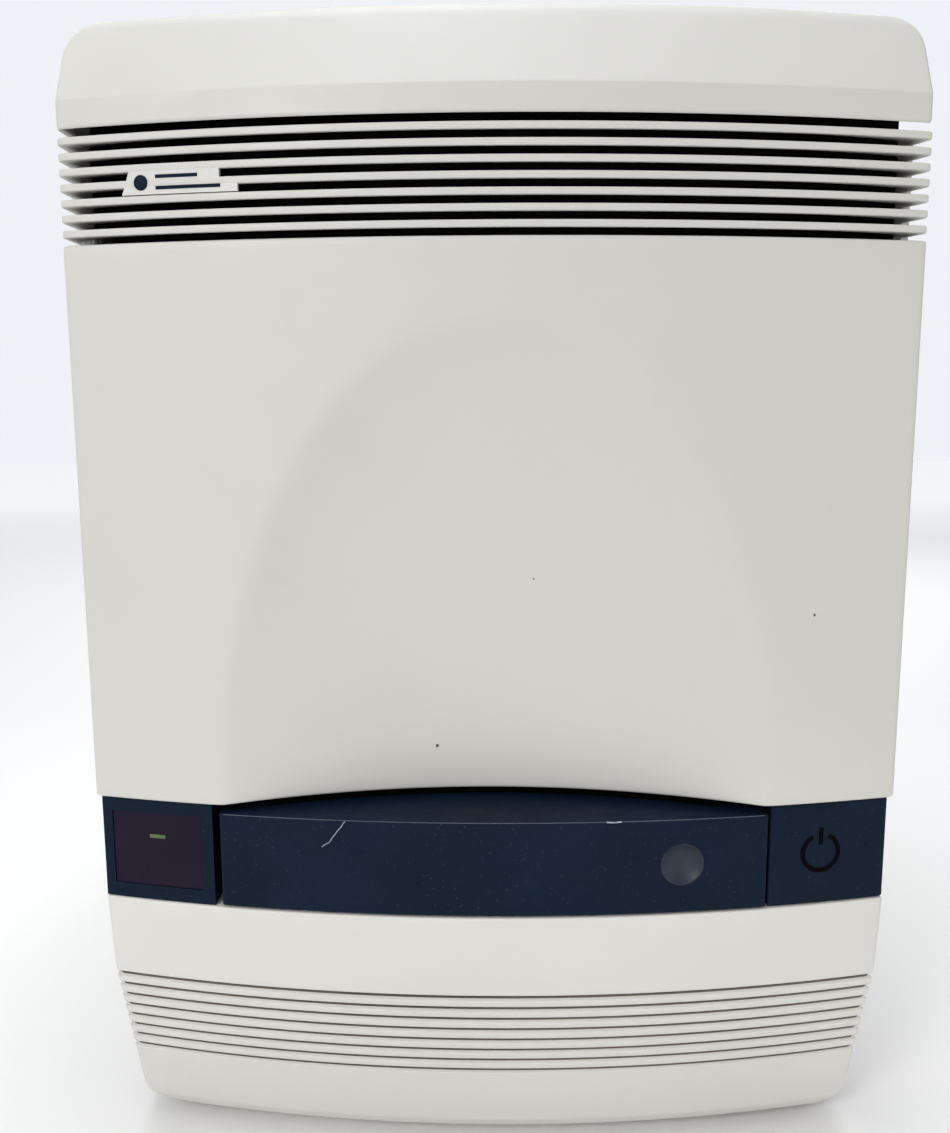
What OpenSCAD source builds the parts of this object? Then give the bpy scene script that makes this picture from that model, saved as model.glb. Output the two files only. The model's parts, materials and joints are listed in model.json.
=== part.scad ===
/* [Body] */
// Overall width
body_w = 340; // [336:1:344]
// Overall depth, from the middle of the bowed front to the rear connectors
body_d = 450; // [446:1:454]
// Overall height, standing on its feet
body_h = 490; // [488:1:494]
// How far the front bows out between its side edges
bow = 20; // [17:1:22]
// Wall of the moulded covers
wall = 3; // [2.5:0.25:3]
/* [Front] */
// Top of the grooved lower bezel
bezel_top = 128.5; // [128:0.25:128.5]
// Top of the dark control band
band_top = 174; // [173.5:0.25:174]
// Top of the access door
door_top = 402.2; // [400:0.2:402.4]
// Depth of the scooped arch in the door at its foot
scoop_depth = 31; // [25:0.5:33]
// Half width of the scooped arch at its foot
scoop_half_w = 113; // [100:1:118]
// Height of the scooped arch
scoop_h = 198; // [150:1:205]
/* [Lower grooves and grille] */
// Number of grooves in the lower bezel
groove_count = 8; // [4:1:10]
// Spacing of the grooves
groove_pitch = 6.41; // [6:0.1:7]
// Height of one groove
groove_h = 3.08; // [2:0.1:3.5]
// Number of fins in the upper grille
fin_count = 7; // [7:1:7]
// Spacing of the fins
fin_pitch = 5.82; // [5.6:0.02:5.82]
// Height of one slot between fins
slot_h = 3.05; // [2.5:0.05:3.1]
/* [Sample tray] */
// Half width of the drawer front
drawer_half_w = 115; // [114.5:0.5:116]
/* [Sample block] */
// Wells along the block
well_cols = 12; // [6:1:12]
// Wells across the block
well_rows = 8; // [4:1:8]
// Well spacing
well_pitch = 9; // [9:1:9]
/* [Hidden] */
$fn = 48;
half_w = body_w / 2;
front_y = -body_d / 2;
rear_y = body_d / 2;
arc_r = (half_w * half_w + bow * bow) / (2 * bow);
arc_y = front_y + arc_r;
gap = 0.3;
seam_y = front_y + 40;
low_seam_y = front_y + 75;
panel_back = rear_y - 3;
cover_back = panel_back - wall - gap;
foot_h = 6;
band_inset = 3;
// Lower bezel: a steep upper face and a raked lower face meet at the top groove
knee_z = 90.7;
knee_inset = 6.8;
steep_rake = 7.2;
low_rake = 20.3;
bezel_step = 1.2;
bezel_wall = 5;
groove_depth = 2.5;
low_round = 12;
// Hood
hood_z = 445.8;
brow_z = 456.5;
brow_rake = 27;
top_round = 14.5;
// Control band: status block at the left, drawer in the middle, button at the right
block_x = drawer_half_w + 3.3;
button_x = drawer_half_w + 1;
band_half = half_w - 1.7;
window_x = [-half_w + 6.1, -half_w + 46.5];
window_z = [135, 168];
symbol_x = 138.7;
symbol_z = 151.7;
symbol_r = 8.9;
stroke = 2;
dimple_x = 78.7;
dimple_z = 150.4;
dimple_r = 15.3;
dimple_depth = 3.5;
hinge_x = -half_w + 8;
hinge_y = front_y + 29;
hinge_r = 3;
door_z0 = band_top + 0.6;
// Thermal stack and tray
block_y = -60;
post_x = 128;
post_ys = [-100, -40];
screw_y = 5;
nest_post_x = 78;
nest_post_y = 38;
running = 0.05;
plate_in = 146.8;
beige = [0.80, 0.79, 0.76];
navy = [0.10, 0.14, 0.21];
black = [0.12, 0.12, 0.13];

// ---- shared forms ----
module span(lo, hi) {
    translate(lo) cube(hi - lo);
}
// The bowed front as a big cylinder; rake leans its face back below (+) or above (-) a height
module bowed(inset = 0, rake = 0, at_y = front_y, at_z = 0) {
    translate([0, at_y, at_z]) rotate([rake, 0, 0]) translate([0, arc_r, 0])
        cylinder(r = arc_r - inset, h = 1500, center = true, $fn = 360);
}
module along_y(y0, y1) {
    translate([0, y1, 0]) rotate([90, 0, 0]) linear_extrude(y1 - y0) children();
}
module rod_y(x, z, r, y0, y1) {
    translate([x, y1, z]) rotate([90, 0, 0]) cylinder(r = r, h = y1 - y0);
}
module rod_x(y, z, r, x0, x1) {
    translate([x0, y, z]) rotate([0, 90, 0]) cylinder(r = r, h = x1 - x0);
}
module rod_z(x, y, r, z0, z1) {
    translate([x, y, z0]) cylinder(r = r, h = z1 - z0);
}
// Front view outline, rounded at its bottom corners
module round_bottom(w, z0, z1, r) {
    translate([-w, z0 + r]) square([2 * w, z1 - z0 - r]);
    translate([-w + r, z0]) square([2 * (w - r), 2 * r]);
    for (s = [-1, 1]) translate([s * (w - r), z0 + r]) circle(r, $fn = 96);
}
// Front view outline, rounded at its top corners
module round_top(w, z0, z1, r) {
    translate([-w, z0]) square([2 * w, z1 - z0 - r]);
    translate([-w + r, z1 - 2 * r]) square([2 * (w - r), 2 * r]);
    for (s = [-1, 1]) translate([s * (w - r), z1 - r]) circle(r, $fn = 96);
}
module both_sides() {
    children();
    mirror([1, 0, 0]) children();
}

// ---- base and frame ----
module base_pan() {
    pan_x = half_w - low_round - 2;
    color("silver") {
        difference() {
            span([-pan_x, low_seam_y + 1, foot_h], [pan_x, cover_back - 1, foot_h + 3]);
            for (x = [-90:20:-30]) span([x, -40, 0], [x + 10, 40, 20]);
        }
        for (x = [-pan_x, pan_x - 2]) span([x, low_seam_y + 1, foot_h + 3], [x + 2, cover_back - 1, 18]);
    }
}
module feet() {
    color([0.1, 0.1, 0.1]) for (x = [-135, 135]) for (y = [-125, 190]) {
        rod_z(x, y, 14, 0, 4);
        rod_z(x, y, 12, 4, foot_h);
    }
}
module inner_frames() {
    color("silver") both_sides() difference() {
        span([147, -165, 18.4], [149, 205, 440]);
        span([140, -170, 10], [155, low_seam_y + 1, bezel_top + 2]);
        for (z = [40, 130, 240, 340]) for (y = [-100, 20, 120])
            span([140, y - 35, z], [155, y + 35, z + 60]);
    }
}
module deck_plate() {
    color("silver") difference() {
        span([-plate_in, -165, 100.5], [plate_in, 190, 103.8]);
        span([-70, -115, 90], [70, -5, 110]);
        for (s = [-1, 1]) rod_z(s * post_x, screw_y, 4 + running, 90, 110);
        for (x = [-60:30:60]) span([x - 8, 90, 90], [x + 8, 170, 110]);
    }
}
module optics_shelf() {
    color("silver") difference() {
        span([-plate_in, -165, 214], [plate_in, 150, 217]);
        span([-60, -102, 200], [60, -18, 230]);
        rod_z(-post_x, screw_y, 4, 200, 230);
    }
}
module camera_bridge() {
    color("silver") difference() {
        span([-plate_in, -112, 418.2], [plate_in, 30, 420.8]);
        rod_z(0, block_y, 15.6, 410, 430);
    }
}

// ---- outer covers ----
module bezel_form(inset, z0) {
    intersection() {
        span([-half_w + bezel_step + inset, front_y - 1, z0],
            [half_w - bezel_step - inset, low_seam_y - gap, bezel_top - inset]);
        bowed(inset, steep_rake, front_y + knee_inset, knee_z);
        bowed(inset, low_rake, front_y + knee_inset, knee_z);
        along_y(front_y - 1, low_seam_y) round_bottom(half_w - bezel_step - inset,
            foot_h + inset, bezel_top, low_round - inset);
    }
}
module lower_bezel() {
    color(beige) difference() {
        bezel_form(0, foot_h);
        bezel_form(bezel_wall, foot_h);
        difference() {
            for (k = [0:groove_count - 1]) span([-half_w, front_y, knee_z - groove_h - k * groove_pitch],
                [half_w, seam_y + 5, knee_z - k * groove_pitch]);
            bezel_form(groove_depth, foot_h);
        }
    }
}
module side_panel() {
    color(beige) difference() {
        intersection() {
            along_y(seam_y, cover_back) difference() {
                round_bottom(half_w, foot_h, hood_z - gap, low_round);
                round_bottom(half_w - wall, foot_h + wall, hood_z + 5, low_round - wall);
            }
            span([half_w - low_round - 1.7, seam_y, 0], [half_w, cover_back, hood_z]);
        }
        span([100, seam_y - 1, 0], [half_w + 1, low_seam_y, bezel_top + gap]);
        for (k = [0:9]) span([half_w - 6, -20, 60 + 9 * k], [half_w + 1, 90, 63.5 + 9 * k]);
    }
}
module side_panel_right() {
    side_panel();
}
module side_panel_left() {
    mirror([1, 0, 0]) side_panel();
}
module hood_form(inset) {
    intersection() {
        span([-half_w, front_y, hood_z - inset], [half_w, cover_back + inset, body_h]);
        bowed(inset);
        bowed(inset, -brow_rake, front_y, brow_z);
        along_y(front_y, cover_back + inset) round_top(half_w - inset, hood_z - inset,
            body_h - inset, top_round - inset);
    }
}
module hood() {
    color(beige) difference() {
        hood_form(0);
        hood_form(wall);
    }
}
module rear_panel() {
    edge = half_w - 0.5;
    color(beige) difference() {
        along_y(panel_back - wall, panel_back) intersection() {
            round_bottom(edge, foot_h + 0.5, body_h - 0.5, low_round);
            round_top(edge, foot_h + 0.5, body_h - 0.5, top_round);
        }
        for (x = [-70, 70]) rod_y(x, 330, 42, 200, 230);
        span([-124, 200, 34], [-92, 230, 62]);
        span([-60, 200, 40], [-45, 230, 54]);
        for (k = [0:7]) span([20, 200, 24 + 7 * k], [130, 230, 27.5 + 7 * k]);
        for (x = [-158, 158]) for (z = [40, 170, 300, 430]) rod_y(x, z, 1.9, 200, 230);
    }
}
module panel_screws() {
    color("silver") for (x = [-158, 158]) for (z = [40, 170, 300, 430]) difference() {
        union() {
            rod_y(x, z, 3.6, panel_back, panel_back + 2.2);
            rod_y(x, z, 1.5, panel_back - 8, panel_back);
        }
        rod_y(x, z, 1.6, panel_back + 0.9, panel_back + 3);
    }
}

// ---- control band ----
module band_form(x0, x1, inset, z0, z1, back) {
    intersection() {
        span([x0, front_y, z0], [x1, back, z1]);
        bowed(band_inset + inset);
    }
}
module control_surround() {
    color(navy) {
        difference() {
            band_form(-band_half, -block_x, 0, bezel_top + gap, band_top, seam_y - gap);
            band_form(-band_half + wall, -block_x - wall, wall, bezel_top + gap + wall,
                band_top - wall, seam_y);
            span([window_x[0], front_y, window_z[0]], [window_x[1], seam_y - 10, window_z[1]]);
            rod_z(hinge_x, hinge_y, hinge_r + 0.02, band_top - 5, band_top + 1);
        }
        difference() {
            span([block_x, seam_y - 5, bezel_top + gap], [band_half, seam_y - gap, band_top]);
            rod_y(symbol_x, symbol_z, 4 + running, seam_y - 10, seam_y + 5);
        }
    }
}
module status_window() {
    color([0.16, 0.13, 0.2]) difference() {
        band_form(window_x[0] + 0.1, window_x[1] - 0.1, 0.5, window_z[0] + 0.1, window_z[1] - 0.1, 0);
        bowed(band_inset + wall);
        lamp_bar(0.05);
    }
}
module lamp_bar(grow) {
    span([-147 - grow, front_y, 156.6 - grow], [-140 + grow, seam_y - 15, 158.2 + grow]);
}
module status_lamp() {
    color("lime") difference() {
        intersection() {
            lamp_bar(0);
            bowed(band_inset + 0.4);
        }
        span([-148, seam_y - 16, 150], [-139, 0, 165]);
    }
}
module power_button() {
    z0 = bezel_top + 0.6;
    z1 = band_top - gap;
    x0 = button_x;
    normal = asin(symbol_x / arc_r);
    face_y = arc_y - sqrt(pow(arc_r - band_inset, 2) - symbol_x * symbol_x);
    color(navy) {
        difference() {
            band_form(x0, band_half, 0, z0, z1, seam_y - 8.3);
            band_form(x0 + wall, band_half - wall, wall, z0 + wall, z1 - wall, seam_y);
            translate([symbol_x, face_y, symbol_z]) rotate([0, 0, normal]) {
                difference() {
                    rod_y(0, 0, symbol_r, -3, 0.6);
                    rod_y(0, 0, symbol_r - stroke, -4, 1);
                    span([-3, -4, 0], [3, 1, 12]);
                }
                span([-stroke / 2, -3, 3.5], [stroke / 2, 0.6, 11]);
            }
        }
        rod_y(symbol_x, symbol_z, 4, face_y + 2, seam_y - 0.5);
    }
}

// ---- grille, badge ----
module badge_form(grow) {
    along_y(front_y, seam_y) polygon([[-143.1 - grow, 419.8 - grow], [-96.4 + grow, 419.8 - grow],
        [-96.4 + grow, 423.8 + grow], [-103.5 + grow, 423.8 + grow],
        [-103.5 + grow, 428.6 + grow], [-139.9 - grow, 428.6 + grow]]);
}
module badge_plate() {
    color("silver") difference() {
        intersection() {
            badge_form(0);
            bowed(0.1);
        }
        bowed(2.5);
    }
}
module front_grille() {
    z1 = hood_z - slot_h;
    z0 = hood_z - fin_count * fin_pitch;
    depth = 9;
    color(beige) {
        difference() {
            intersection() {
                span([-half_w, front_y, z0], [half_w, seam_y - gap, z1]);
                bowed();
            }
            difference() {
                intersection() {
                    span([-half_w + depth, front_y, z0 - 1], [half_w - depth, seam_y, z1 + 1]);
                    bowed(depth);
                }
                hinge_seat();
            }
            for (k = [1:fin_count - 1]) difference() {
                span([-half_w - 1, front_y - 1, z1 - k * fin_pitch],
                    [half_w + 1, seam_y - 3, z1 - k * fin_pitch + slot_h]);
                for (x = [-121, -66, 0, 66, 121]) intersection() {
                    span([x - 1.5, front_y, z0 - 2], [x + 1.5, seam_y, z1 + 2]);
                    bowed(4);
                }
            }
            difference() {
                badge_form(0.1);
                bowed(2.7);
            }
            rod_z(hinge_x, hinge_y, hinge_r + 0.02, z0 - 1, z0 + 5);
        }
    }
}
module hinge_seat() {
    z0 = hood_z - fin_count * fin_pitch;
    span([-half_w + 2, hinge_y - 6, z0], [-half_w + 18, hinge_y + 8, z0 + 3]);
}
module grille_baffle() {
    side = 160;
    top_z = hood_z + 8;
    color(black) difference() {
        intersection() {
            span([-side, front_y, 403], [side, seam_y - 2, top_z]);
            bowed(12);
        }
        intersection() {
            span([-side + 2, front_y, 400], [side - 2, seam_y, top_z - 2]);
            bowed(14);
        }
        span([-side - 1, front_y, 400], [-half_w + 18.5, seam_y, hood_z - 36.5]);
    }
}

// ---- access door ----
function arch(x, z) = scoop_depth
    * max(0, 1 - pow(x / scoop_half_w, 2) - pow((z - band_top) / scoop_h, 2));
function skin_y(x, z, inset) = arc_y - sqrt(pow(arc_r - inset, 2) - x * x) + arch(x, z);
door_back = hinge_y + 8.5;
skin_n = 32;
skin_rows = 14;
skin_zs = concat([for (i = [0:skin_rows])
    door_z0 + (band_top + scoop_h - door_z0) * i / skin_rows], [door_top]);
// One level of the door's shell: round the outside, then back along the inside
function skin_ring(z) = concat(
    [[-half_w, door_back, z]],
    [for (i = [0:skin_n]) let(x = -half_w + 2 * half_w * i / skin_n) [x, skin_y(x, z, 0), z]],
    [[half_w, door_back, z], [half_w - wall, door_back, z]],
    [for (i = [0:skin_n]) let(w = half_w - wall, x = w - 2 * w * i / skin_n)
        [x, skin_y(x, z, wall), z]],
    [[-half_w + wall, door_back, z]]);
module access_door() {
    rings = [for (z = skin_zs) skin_ring(z)];
    n = len(rings[0]);
    m = len(rings);
    color(beige) polyhedron(
        points = [for (ring = rings) each ring],
        faces = concat(
            [for (i = [0:n / 2 - 2]) [i, i + 1, n - 2 - i, n - 1 - i]],
            [for (r = [0:m - 2]) for (i = [0:n - 1])
                let(a = r * n + i, b = r * n + (i + 1) % n) each [[a, b + n, b], [a, a + n, b + n]]],
            [for (i = [0:n / 2 - 2]) let(t = (m - 1) * n) [t + n - 1 - i, t + n - 2 - i, t + i + 1, t + i]]),
        convexity = 4);
}
module door_frame() {
    stile = 128;
    side = half_w - wall - 0.2;
    color("silver") {
        difference() {
            intersection() {
                span([-side, front_y, 190.5], [side, hinge_y + 2, 398]);
                bowed(wall + 0.3);
            }
            span([-stile, front_y, 180], [stile, 0, 378]);
            rod_z(hinge_x, hinge_y, 5.5, 180, 410);
            span([-side - 1, hinge_y - 3, 180], [hinge_x, hinge_y + 9, 410]);
        }
        for (z = [door_z0 + 0.8, 385]) difference() {
            union() {
                rod_z(hinge_x, hinge_y, 4.7, z, z + 15);
                span([hinge_x, hinge_y - 4, z], [hinge_x + 8, hinge_y, z + 15]);
                if (z < 200) span([hinge_x + 5, hinge_y - 4, z], [hinge_x + 12, hinge_y, z + 24]);
            }
            rod_z(hinge_x, hinge_y, hinge_r + running, z - 1, z + 20);
        }
        span([half_w - 14, hinge_y + 2, 280], [half_w - 5, hinge_y + 4, 300]);
    }
}
module hinge_pins() {
    color("silver") {
        rod_z(hinge_x, hinge_y, hinge_r, band_top - wall, band_top + 14);
        rod_z(hinge_x, hinge_y, hinge_r, 388, 408);
    }
}
module door_catch() {
    color(black) {
        span([half_w - 14, hinge_y + 4.3, 281], [half_w - 6, hinge_y + 14, 299]);
        span([149, hinge_y + 14, 282], [half_w - 6, -162, 298]);
    }
}

// ---- tray ----
module drawer_form(inset) {
    intersection() {
        span([-drawer_half_w + inset, front_y, 129.5 + inset],
            [drawer_half_w - inset, seam_y + 2, 170.6 - inset]);
        bowed(band_inset - 1 + inset);
    }
}
module drawer_front() {
    face_y = arc_y - sqrt(pow(arc_r - band_inset + 1, 2) - dimple_x * dimple_x);
    centre = [dimple_x, face_y - dimple_r + dimple_depth, dimple_z];
    color(navy) difference() {
        union() {
            difference() {
                drawer_form(0);
                drawer_form(wall);
                span([-drawer_half_w + wall, seam_y - 5, 132.5], [drawer_half_w - wall, seam_y + 5, 167.6]);
            }
            intersection() {
                translate(centre) sphere(dimple_r + 2.5, $fn = 96);
                drawer_form(0.5);
            }
            span([-100, seam_y - 1, 130], [100, seam_y + 2, 150]);
        }
        translate(centre) sphere(dimple_r, $fn = 96);
    }
}
module tray_frame() {
    y0 = seam_y + 2.1;
    color("silver") {
        difference() {
            span([-97.5, y0, 131], [97.5, 12, 134]);
            span([-74, block_y - 53, 120], [74, 20, 140]);
        }
        both_sides() span([94.5, y0, 134], [97.5, 12, 149]);
        span([-94.5, -7, 145], [94.5, 12, 149]);
        for (x = [-nest_post_x, nest_post_x]) for (y = [-nest_post_y, nest_post_y])
            rod_z(x, block_y + y, 2, 134, 162.5);
        both_sides() difference() {
            span([97.5, y0, 134], [104.2, 0, 150]);
            span([100.3, y0 - 1, 136.4], [105, 1, 147.6]);
        }
    }
}
module rails_middle() {
    y0 = seam_y + 5;
    color("silver") both_sides() {
        span([104.5, y0, 134], [110.7, 0, 150]);
        span([100.8, y0, 136.9], [104.5, 0, 147.1]);
        span([110.7, y0, 136.9], [114.6, 0, 147.1]);
    }
}
module rails_fixed() {
    y0 = seam_y + 5;
    color("silver") both_sides() {
        difference() {
            span([111, y0, 134], [117.5, 0, 150]);
            span([110, y0 - 1, 136.4], [115.2, 1, 147.6]);
        }
        for (y = [-150, -20]) span([112, y, 103.8], [117.5, y + 12, 134]);
    }
}
module plate_nest() {
    color(black) difference() {
        union() {
            span([-67.3, block_y - 46.2, 145.1], [67.3, block_y + 46.2, 163.5]);
            for (y = [-nest_post_y, nest_post_y]) span([-82, block_y + y - 5, 159.5],
                [82, block_y + y + 5, 163.5]);
        }
        span([-64.3, block_y - 43.2, 147.5], [64.3, block_y + 43.2, 170]);
        span([-57, block_y - 39, 140], [57, block_y + 39, 150]);
        for (x = [-nest_post_x, nest_post_x]) for (y = [-nest_post_y, nest_post_y])
            rod_z(x, block_y + y, 2 + running, 150, 170);
    }
}
module nest_springs() {
    turns = 7;
    color("silver") for (x = [-nest_post_x, nest_post_x]) for (y = [-nest_post_y, nest_post_y])
        for (k = [0:turns - 1]) translate([x, block_y + y, 134.6 + k * 4])
            rotate_extrude($fn = 32) translate([3, 0]) circle(0.5, $fn = 16);
}
module latch_housing() {
    color(black) difference() {
        union() {
            span([-10, 22, 137], [10, 60, 157]);
            span([-10, 42, 103.8], [10, 60, 137]);
        }
        rod_y(0, 147, 3 + running, 10, 54);
    }
}
module latch_plunger() {
    color("white") {
        rod_y(0, 147, 3, 12.4, 48);
        rod_y(0, 147, 5, 12.4, 15);
    }
}

// ---- thermal stack ----
module sample_block() {
    color([0.75, 0.76, 0.78]) difference() {
        span([-55, block_y - 37, 122], [55, block_y + 37, 144]);
        for (i = [0:well_cols - 1]) for (j = [0:well_rows - 1])
            translate([(i - (well_cols - 1) / 2) * well_pitch,
                block_y + (j - (well_rows - 1) / 2) * well_pitch, 133])
                cylinder(r1 = 1.2, r2 = 2.87, h = 11.05, $fn = 24);
    }
}
module peltier_modules() {
    color("white") for (x = [-36, 0, 36]) for (y = [-18, 18])
        span([x - 17, block_y + y - 17, 118], [x + 17, block_y + y + 17, 121.9]);
}
module heat_sink() {
    color("silver") {
        span([-75, block_y - 60, 104], [75, block_y + 60, 117.9]);
        for (k = [-8:8]) span([k * 8 - 1, block_y - 54, 60], [k * 8 + 1, block_y + 54, 104]);
    }
}
// Axial fan along Y, centred on x and z, from y0 to y1
module fan_case(x, z, half, y0, y1, hub) {
    difference() {
        span([x - half, y0, z - half], [x + half, y1, z + half]);
        rod_y(x, z, half - 2, y0 - 1, y1 + 1);
        for (sx = [-1, 1]) for (sz = [-1, 1])
            rod_y(x + sx * (half - 4.5), z + sz * (half - 4.5), 1.8, y0 - 1, y1 + 1);
    }
    rod_y(x, z, hub, y1 - 2.5, y1);
    span([x - half + 1, y1 - 2.5, z - 2], [x + half - 1, y1, z + 2]);
    span([x - 2, y1 - 2.5, z - half + 1], [x + 2, y1, z + half - 1]);
    rod_y(x, z, 2, y0 + 6, y1 - 2.5);
}
module fan_rotor(x, z, half, y0, y1, hub) {
    difference() {
        union() {
            rod_y(x, z, hub, y0 + 1, y1 - 4);
            intersection() {
                for (a = [0:360 / 7:359]) translate([x, (y0 + y1) / 2 - 1.5, z]) rotate([0, a, 0])
                    rotate([35, 0, 0]) span([hub - 2, -9, -0.8], [half, 9, 0.8]);
                rod_y(x, z, half - 3.5, y0 + 1, y1 - 4);
            }
        }
        rod_y(x, z, 2 + running, y0 + 5.5, y1);
    }
}
module block_fan() {
    color(black) fan_case(0, 58, 40, 10, 35, 15);
}
module block_fan_rotor() {
    color(black) fan_rotor(0, 58, 40, 10, 35, 14);
}
module exhaust_fans() {
    color(black) for (x = [-70, 70]) fan_case(x, 330, 46, cover_back - 25, cover_back - 0.1, 17);
}
module exhaust_rotor_left() {
    color(black) fan_rotor(-70, 330, 46, cover_back - 25, cover_back - 0.1, 16);
}
module exhaust_rotor_right() {
    color(black) fan_rotor(70, 330, 46, cover_back - 25, cover_back - 0.1, 16);
}

// ---- heated cover and its drive ----
module heated_cover() {
    color([0.8, 0.8, 0.8]) {
        difference() {
            span([-66, block_y - 45, 165.8], [66, block_y + 45, 174]);
            for (i = [0:11]) for (j = [0:7])
                rod_z((i - 5.5) * 9, block_y + (j - 3.5) * 9, 2.5, 160, 180);
        }
        for (x = [-62.5, 62.5]) for (y = [-42, 42]) rod_z(x, block_y + y, 2.2, 174, 178);
    }
}
module cover_carriage() {
    color("silver") difference() {
        span([-136, block_y - 52, 178], [136, 16, 186]);
        span([-60, block_y - 40, 170], [60, block_y + 40, 190]);
        for (s = [-1, 1]) {
            for (y = post_ys) rod_z(s * post_x, y, 5 + running, 170, 190);
            rod_z(s * post_x, screw_y, 4 + running, 170, 190);
        }
    }
}
module guide_posts() {
    color("silver") for (s = [-1, 1]) for (y = post_ys) rod_z(s * post_x, y, 5, 103.9, 213.9);
}
module lead_screw(s) {
    color("gold") {
        rod_z(s * post_x, screw_y, 4, 101, 212.5);
        rod_z(s * post_x, screw_y, 8, 203, 209);
    }
}
module lead_screw_left() {
    lead_screw(-1);
}
module lead_screw_right() {
    lead_screw(1);
}
module drive_belt() {
    color(black) difference() {
        union() {
            for (s = [-1, 1]) rod_z(s * post_x, screw_y, 10, 203.5, 208.5);
            span([-post_x, screw_y - 10, 203.5], [post_x, screw_y + 10, 208.5]);
        }
        for (s = [-1, 1]) rod_z(s * post_x, screw_y, 8.3, 200, 210);
        span([-post_x, screw_y - 8.3, 200], [post_x, screw_y + 8.3, 210]);
    }
}
module screw_motor() {
    color(black) {
        span([-146, screw_y - 18, 217.1], [-110, screw_y + 18, 255]);
        rod_z(-post_x, screw_y, 3.9, 213, 217.1);
    }
}

// ---- optics ----
module optics_housing() {
    color([0.2, 0.2, 0.22]) difference() {
        span([-65, -110, 217.1], [65, -10, 380]);
        span([-62, -107, 210], [62, -13, 377]);
        rod_y(0, 330, 14, -115, -100);
        rod_z(0, block_y, 16, 370, 390);
    }
}
module field_lens() {
    color([0.8, 0.9, 0.95]) span([-61.5, -106.5, 218], [61.5, -13.5, 221]);
}
module beam_splitter() {
    color([0.8, 0.85, 0.95]) translate([0, block_y, 330]) rotate([45, 0, 0])
        span([-61.5, -1, -36], [61.5, 1, 36]);
}
module filter_disc(ring_r, hole_r, count, thick) {
    difference() {
        cylinder(r = ring_r + hole_r + 4, h = thick, $fn = 96);
        for (k = [0:count - 1]) rotate([0, 0, 360 * k / count]) translate([ring_r, 0, -1])
            cylinder(r = hole_r, h = thick + 2);
        translate([0, 0, -1]) cylinder(r = 2 + running, h = thick + 2);
    }
}
module excitation_wheel() {
    color(black) translate([35, -117, 330]) rotate([90, 0, 0]) rotate([0, 0, 180])
        filter_disc(35, 12, 5, 4);
}
module emission_wheel() {
    color(black) translate([0, -26, 384]) rotate([0, 0, -90]) filter_disc(34, 12, 5, 4);
}
module wheel_motors() {
    color([0.3, 0.3, 0.32]) {
        span([20.5, -157.8, 315.5], [49.5, -124, 344.5]);
        rod_y(35, 330, 2, -124, -115);
        rod_z(0, -26, 14, 392, 418);
        rod_z(0, -26, 2, 382.5, 392);
    }
}
module lamp_housing() {
    color("silver") difference() {
        union() {
            span([-40, -187.5, 290], [40, -161, 370]);
            span([-45, -161, 217.1], [60, -158, 370]);
            rod_y(0, 330, 15.5, -158, -123);
            rod_x(-175, 300, 3, 40, 48);
        }
        span([-37, -184.5, 293], [37, -161, 367]);
        rod_y(0, 330, 13, -165, -120);
    }
}
module halogen_lamp() {
    color([0.9, 0.9, 0.85]) {
        difference() {
            rod_y(0, 330, 25, -184.4, -166);
            translate([0, -146, 330]) sphere(30);
        }
        rod_y(0, 330, 5, -177, -168);
    }
}
module lamp_lever() {
    color(black) difference() {
        union() {
            rod_x(-175, 300, 6, 41, 46);
            span([41, -177, 300], [46, -173, 330]);
            rod_x(-175, 330, 4, 41, 52);
        }
        rod_x(-175, 300, 3 + running, 40, 48);
    }
}
module camera_unit() {
    color([0.25, 0.25, 0.28]) {
        rod_z(0, block_y, 15, 392, 421);
        span([-35, -95, 421], [35, -25, 470]);
        for (k = [0:8]) span([-34 + 8 * k, -95, 470], [-30 + 8 * k, -25, 478]);
    }
}

// ---- electrics ----
module power_supply() {
    color("silver") difference() {
        span([20, 70, 9.1], [140, 200, 80]);
        span([22, 72, 11], [138, 198, 78]);
        for (k = [0:6]) span([30 + 15 * k, 90, 75], [37 + 15 * k, 180, 85]);
    }
}
module main_board() {
    color("green") {
        span([-140, 60, 16], [0, 190, 17.6]);
        for (x = [-134, -6]) for (y = [66, 184]) rod_z(x, y, 3, 9, 16);
        for (x = [-120:30:-30]) span([x, 90, 17.6], [x + 18, 108, 21]);
        span([-130, 140, 17.6], [-90, 170, 40]);
    }
}
module mains_inlet() {
    y1 = panel_back + 3;
    color(black) difference() {
        union() {
            span([-123.8, panel_back - 22, 34.2], [-92.2, y1, 61.8]);
            span([-127, panel_back, 31], [-89, y1, 65]);
        }
        span([-120, y1 - 17, 38], [-96, y1 + 1, 58]);
    }
    for (x = [-114, -108, -102]) color("silver")
        span([x - 1, y1 - 18, 46], [x + 1, y1 - 3, 50]);
}
module usb_port() {
    y1 = panel_back + 1;
    color("silver") difference() {
        span([-59.8, panel_back - 16, 40.2], [-45.2, y1, 53.8]);
        span([-58.5, y1 - 12, 41.5], [-46.5, y1 + 1, 52.5]);
    }
}

base_pan();
feet();
inner_frames();
deck_plate();
optics_shelf();
camera_bridge();
lower_bezel();
control_surround();
status_window();
status_lamp();
power_button();
front_grille();
grille_baffle();
badge_plate();
hood();
side_panel_left();
side_panel_right();
rear_panel();
panel_screws();
access_door();
door_frame();
hinge_pins();
door_catch();
drawer_front();
tray_frame();
plate_nest();
nest_springs();
rails_fixed();
rails_middle();
latch_housing();
latch_plunger();
sample_block();
peltier_modules();
heat_sink();
block_fan();
block_fan_rotor();
heated_cover();
cover_carriage();
lead_screw_left();
lead_screw_right();
guide_posts();
drive_belt();
screw_motor();
optics_housing();
field_lens();
beam_splitter();
excitation_wheel();
wheel_motors();
lamp_housing();
halogen_lamp();
lamp_lever();
emission_wheel();
camera_unit();
power_supply();
main_board();
exhaust_fans();
exhaust_rotor_left();
exhaust_rotor_right();
mains_inlet();
usb_port();
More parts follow.
